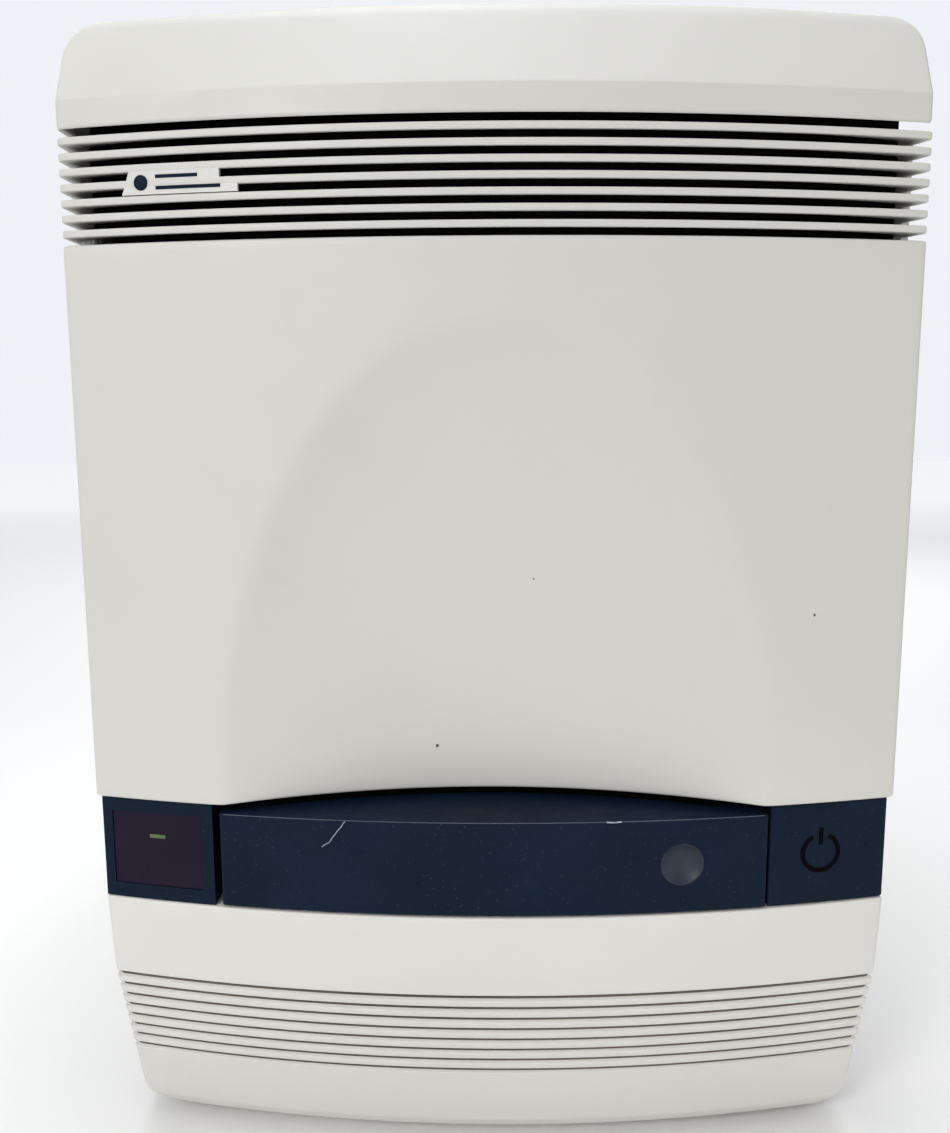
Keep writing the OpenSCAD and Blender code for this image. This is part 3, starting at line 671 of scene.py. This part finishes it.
def make_ribs():
    """Upright ribs behind the fins, coloured deep black as painted shade, so they show as dark breaks in
    the slots.
    """
    for k, x in enumerate(RIB_XS):
        y = bow_y(x * MM) + 5 * MM
        rib = box_piece("grille_rib_%d" % (k + 1), ((x - RIB_HALF_W) * MM, y, grille_lo.z),
                        ((x + RIB_HALF_W) * MM, y + 4 * MM, grille_hi.z + 2.4 * MM), 0.3 * MM)
        finish_piece(rib, "black_ink_and_shade", "chassis")


def box_piece(name, lo, hi, edge):
    """A block with rounded edges built into its mesh."""
    mesh = bpy.data.meshes.new(name)
    work = bmesh.new()
    bmesh.ops.create_cube(work, size=1)
    size = Vector(hi) - Vector(lo)
    bmesh.ops.scale(work, vec=size, verts=work.verts)
    bmesh.ops.translate(work, vec=(Vector(lo) + Vector(hi)) / 2, verts=work.verts)
    bmesh.ops.bevel(work, geom=work.edges[:], offset=edge, segments=3, profile=0.5, affect="EDGES")
    work.to_mesh(mesh)
    work.free()
    obj = bpy.data.objects.new(name, mesh)
    bpy.context.collection.objects.link(obj)
    return obj


def face_grid(name, x0, x1, back, z0, z1, step, edge, fillet, shape, inset):
    """A block whose front follows the bow, with rounded edges and a shape(x, z) pressed into it."""
    low, high = rounded_rows(z0, z1, edge, 5)
    middle = [(z, 0) for z in column_xs(z0 + edge, z1 - edge, step)][1:-1]
    xs = column_xs(x0, x1, step)
    rows = []
    for z, trim in low + middle + high:
        path = plan_path(x0 + trim, x1 - trim, back,
                         lambda x, t=trim, h=z: bow_y(x, inset) + t + shape(x, h), xs, fillet)
        rows.append((path, z))
    return loft(name, rows)


def dimple(x, z):
    """Depth of the press point: a dish cut by a ball, with a soft rim."""
    at_x, at_z, radius, depth = DIMPLE
    away = math.hypot(x - at_x, z - at_z)
    dish = math.sqrt(max(radius ** 2 - away ** 2, 0.0)) - (radius - depth)
    soft = 0.18 * MM
    return (dish + math.sqrt(dish * dish + soft * soft)) / 2 if away < radius else 0.0


def make_press_point():
    """The worn middle of the press point, polished by fingers, as a thin dish on the drawer."""
    at_x, at_z = DIMPLE[:2]
    rings, sectors, reach, lift = 16, 64, 9.1 * MM, 0.1 * MM

    def on_drawer(x, z):
        return (x, bow_y(x, DRAWER_INSET) + dimple(x, z) - lift, z)
    points = [on_drawer(at_x + r * math.cos(a), at_z + r * math.sin(a))
              for r in spread(0, reach, rings)[1:] for a in spread(0, 2 * math.pi, sectors)[:-1]]
    middle = len(points)
    points.append(on_drawer(at_x, at_z))
    faces = [(middle, (k + 1) % sectors, k) for k in range(sectors)]
    for ring in range(rings - 1):
        a, b = ring * sectors, (ring + 1) * sectors
        faces += [(a + k, a + (k + 1) % sectors, b + (k + 1) % sectors, b + k) for k in range(sectors)]
    dish = mesh_object("drawer_press_point", points, faces)
    finish_piece(add_shell(dish, 0.02 * MM), "navy_polished", "tray")


def make_drawer():
    """The drawer's face, meshed finely enough for its press point."""
    drawer = face_grid("drawer_cover", drawer_lo.x, drawer_hi.x, drawer_hi.y - 3 * MM,
                       drawer_lo.z, drawer_hi.z, 0.8 * MM, 0.6 * MM, 1.2 * MM, dimple, DRAWER_INSET)
    finish_piece(drawer, "navy_plastic", "tray", ["drawer_front"])
    make_press_point()


def make_button():
    """The power button's cap and stem, and the open ring and bar of its symbol."""
    button = face_grid("button_cover", button_lo.x, button_hi.x, button_hi.y - 8 * MM,
                       button_lo.z, button_hi.z, 3 * MM, 0.6 * MM, 1.4 * MM,
                       lambda x, z: 0.0, BAND_INSET)
    finish_piece(button, "navy_plastic", "button", ["power_button"])
    at_x, at_z, ring_r, stroke = SYMBOL
    stem_r, stem_l = 4 * MM, 12 * MM
    stem = bpy.data.objects.new("button_stem", tube_mesh("button_stem", stem_r, stem_l, 32))
    bpy.context.collection.objects.link(stem)
    start = Matrix.Translation((at_x, button_hi.y - stem_l, at_z))
    stem.matrix_world = start @ Matrix.Rotation(-math.pi / 2, 4, "X")
    finish_piece(stem, "navy_plastic", "button")
    ring = strip_on_front("power_symbol_ring", ring_points(at_x, at_z, ring_r - stroke / 2),
                          stroke, BAND_INSET)
    finish_piece(ring, "black_ink_and_shade", "button", smooth=False)
    bar = strip_on_front("power_symbol_bar", [(at_x, at_z + 3.5 * MM), (at_x, at_z + 11 * MM)],
                         stroke, BAND_INSET)
    finish_piece(bar, "black_ink_and_shade", "button", smooth=False)


def ring_points(x, z, radius):
    """An open ring, with its gap at the top."""
    return [(x + radius * math.sin(a), z + radius * math.cos(a))
            for a in spread(math.radians(26), math.radians(334), 56)]


def strip_on_front(name, points, width, inset, height=0.12 * MM, sink=0.2 * MM):
    """A flat raised strip that follows (x, z) points over the bowed front."""
    verts, faces = [], []
    for i, (x, z) in enumerate(points):
        before, after = points[max(0, i - 1)], points[min(len(points) - 1, i + 1)]
        along = Vector((after[0] - before[0], after[1] - before[1])).normalized()
        across = Vector((-along.y, along.x)) * width / 2
        for side in (1, -1):
            px, pz = x + across.x * side, z + across.y * side
            verts += [(px, bow_y(px, inset) - height, pz), (px, bow_y(px, inset) + sink, pz)]
    for i in range(len(points) - 1):
        a, b = i * 4, i * 4 + 4
        faces += [(a, a + 2, b + 2, b), (a + 1, b + 1, b + 3, a + 3),
                  (a, b, b + 1, a + 1), (a + 2, a + 3, b + 3, b + 2)]
    end = (len(points) - 1) * 4
    faces += [(0, 1, 3, 2), (end, end + 2, end + 3, end + 1)]
    return mesh_object(name, verts, faces)


def tube_mesh(name, radius, length, sides):
    """A round bar along its own +Z, with chamfered ends."""
    mesh = bpy.data.meshes.new(name)
    work = bmesh.new()
    bmesh.ops.create_cone(work, cap_ends=True, segments=sides, radius1=radius, radius2=radius, depth=length)
    bmesh.ops.translate(work, vec=(0, 0, length / 2), verts=work.verts)
    rims = [e for e in work.edges if abs(e.verts[0].co.z - e.verts[1].co.z) < 1e-9]
    bmesh.ops.bevel(work, geom=rims, offset=min(radius, length) * 0.08, segments=2, profile=0.5,
                    affect="EDGES")
    work.to_mesh(mesh)
    work.free()
    return mesh


def round_piece(name, start, end, radius, sides=48):
    """A round bar between two points."""
    start, end = Vector(start), Vector(end)
    obj = bpy.data.objects.new(name, tube_mesh(name, radius, (end - start).length, sides))
    bpy.context.collection.objects.link(obj)
    turn = (end - start).to_track_quat("Z", "Y").to_matrix().to_4x4()
    obj.matrix_world = Matrix.Translation(start) @ turn
    return obj


def badge_step(name, z0, z1, x0, x1, replaced):
    """One step of the badge's plate: a bowed block whose left end leans."""
    verts, faces = [], []
    xs = column_xs(x0, x1, 3 * MM)
    for inset in (0.1 * MM, 2.4 * MM):
        for z, lean in ((z0, 0), (z1, 1.6 * MM)):
            for x in xs:
                px = x + lean * (x1 - x) / (x1 - x0)
                verts.append((px, bow_y(px, inset), z))
    n = len(xs)
    for i in range(n - 1):
        faces += [(i, i + 1, n + i + 1, n + i), (2 * n + i, 3 * n + i, 3 * n + i + 1, 2 * n + i + 1),
                  (i, 2 * n + i, 2 * n + i + 1, i + 1), (n + i, n + i + 1, 3 * n + i + 1, 3 * n + i)]
    faces += [(0, n, 3 * n, 2 * n), (n - 1, 3 * n - 1, 4 * n - 1, 2 * n - 1)]
    plate = mesh_object(name, verts, faces)
    finish_piece(plate, "badge_metal", "chassis", replaced, smooth=False)


def make_badge():
    """A plain plate in two steps between the fins, with a mark of one disc and two bars."""
    z0, z1 = badge_lo.z, badge_hi.z
    x0, x1 = badge_lo.x, badge_hi.x
    step_z = z0 + 4 * MM
    badge_step("badge_lower", z0, step_z, x0, x1, ["badge_plate"])
    badge_step("badge_upper", step_z, z1, x0 + 1.6 * MM, x1 - 7.1 * MM, ())
    at = Vector((x0 + 8 * MM, bow_y(x0 + 8 * MM), (z0 + z1) / 2))
    inward = Vector((-at.x, ARC_Y - at.y, 0)).normalized()
    disc = round_piece("badge_disc", at - inward * 0.1 * MM, at + inward * 0.8 * MM, 2.9 * MM)
    finish_piece(disc, "navy_plastic", "chassis")
    for k, length in enumerate((17, 26)):
        z = (z0 + z1) / 2 + (2.1 - 4.2 * k) * MM
        points = [(x0 + (14 + length * t) * MM, z) for t in spread(0, 1, 8)]
        bar = strip_on_front("badge_bar_%d" % (k + 1), points, 1.3 * MM, 0.0, 0.05 * MM)
        finish_piece(bar, "navy_plastic", "chassis", smooth=False)


# ---- frame parts that stay, the filters' glass, wear, and a painted edge highlight ----
def dress_nodes():
    """Gives each frame part that stays its material and softened edges."""
    slots = {row["node"]: row["material_slot"] for row in frame["record"]["subparts"]}
    for name, obj in frame["nodes"].items():
        if obj.hide_render:
            continue
        obj.data.materials.clear()
        obj.data.materials.append(MATERIALS[LOOK_OF.get(name, slots[name])])
        soften(obj, EDGE_OF.get(name, EDGE) * MM)


def add_filters():
    """Coated glass discs in the two filter wheels."""
    for wheel, body, centre, ring_r, axis, first, glass in FILTER_WHEELS:
        along = Vector((0, 1, 0)) if axis == "Y" else Vector((0, 0, 1))
        for k in range(FILTERS):
            a = first + 2 * math.pi * k / FILTERS
            if axis == "Y":
                spoke = Vector((math.cos(a), 0, math.sin(a)))
            else:
                spoke = Vector((math.cos(a), math.sin(a), 0))
            at = Vector(centre) * MM + ring_r * MM * spoke
            disc = round_piece("%s_filter_%d" % (wheel, k + 1),
                               at - along * FILTER_HALF_T, at + along * FILTER_HALF_T, FILTER_R)
            finish_piece(disc, glass, body)


def drawer_mark(name, points, width, look):
    """A mark on the drawer's face, along (x, z) points."""
    mark = strip_on_front(name, points, width, DRAWER_INSET, 0.03 * MM)
    finish_piece(mark, look, "tray", smooth=False)


def add_wear_and_edge_highlight():
    """A scratch, a painted highlight along the top edge and a nick on the drawer, and three flecks on the
    door.
    """
    drawer_mark("drawer_scratch", [(x * MM, z * MM) for x, z in SCRATCH], 0.32 * MM, "pale_scratch")
    # A pale line along the drawer's top front edge: a painted highlight where the edge catches the light.
    edge_xs = column_xs(drawer_lo.x + 2 * MM, drawer_hi.x - 2 * MM, 4 * MM)
    drawer_mark("drawer_edge_highlight", [(x, drawer_hi.z - 0.45 * MM) for x in edge_xs],
                0.3 * MM, "edge_highlight")
    drawer_mark("drawer_nick", [(x * MM, z * MM) for x, z in NICK], 0.6 * MM, "pale_scratch")
    for k, (x, z, radius) in enumerate(FLECKS):
        x, z, radius = x * MM, z * MM, radius * MM
        y = bow_y(x) + arch(x, z)
        fleck = round_piece("door_fleck_%d" % (k + 1), (x, y - 0.05 * MM, z), (x, y + 0.3 * MM, z),
                            radius, 12)
        finish_piece(fleck, "dark_fleck", "door")


make_camera()
make_studio()
make_door()
make_door_foot_shade()
make_hood()
make_bezel()
make_fins()
make_ribs()
make_drawer()
make_button()
make_badge()
dress_nodes()
add_filters()
add_wear_and_edge_highlight()
